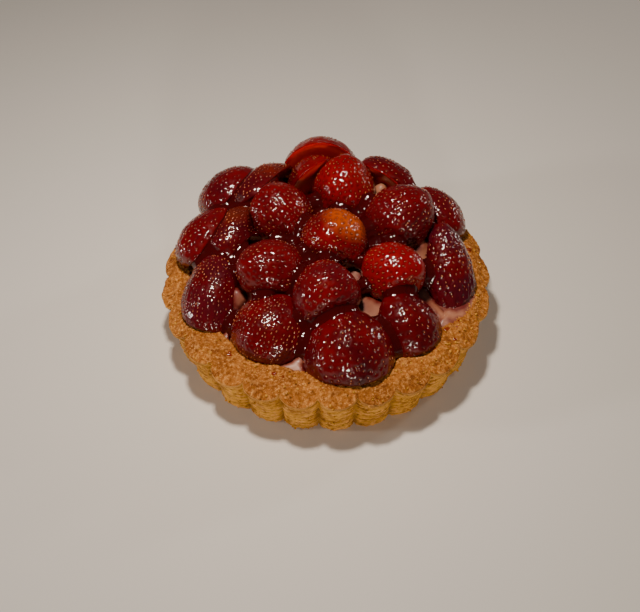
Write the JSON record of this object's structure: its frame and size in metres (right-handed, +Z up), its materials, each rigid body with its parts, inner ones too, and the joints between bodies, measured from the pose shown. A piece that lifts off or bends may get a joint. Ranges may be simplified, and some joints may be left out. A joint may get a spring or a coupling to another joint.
{
  "type": "strawberry tart",
  "caption": "Round fluted pastry tart shell filled with cream and piled with glazed whole and halved strawberries.",
  "frame": {"origin": "middle of the shell's flat underside", "axes": "+Z up out of the tart; -Y towards the side with the largest half strawberry, which is the front; +X to its right"},
  "size_m": [0.1296, 0.1298, 0.0511],
  "materials": {
    "pastry": "golden-brown baked shortcrust pastry, dry, finely grained, with a few glaze spots",
    "cream": "smooth vanilla cream, satin, stained pink by the fruit's juice",
    "strawberry": "deep red strawberry skin with pale seeds under a thick clear glaze"
  },
  "bodies": {
    "root": {"pastry_shell": "pastry", "cream": "cream", "berry_top": "strawberry", "berry_ring_front": "strawberry", "berry_ring_front_right": "strawberry", "berry_ring_back_right": "strawberry", "berry_ring_back": "strawberry", "berry_ring_back_left": "strawberry", "berry_ring_front_left": "strawberry", "half_front": "strawberry", "half_front_right": "strawberry", "half_right": "strawberry", "half_back_right_low": "strawberry", "half_back_right_high": "strawberry", "half_back_low": "strawberry", "half_back": "strawberry", "half_back_inner": "strawberry", "half_back_left_low": "strawberry", "half_back_left_inner": "strawberry", "half_back_left": "strawberry", "half_left_high": "strawberry", "half_left_inner": "strawberry", "half_left": "strawberry", "half_front_left": "strawberry"}
  },
  "joints": []
}
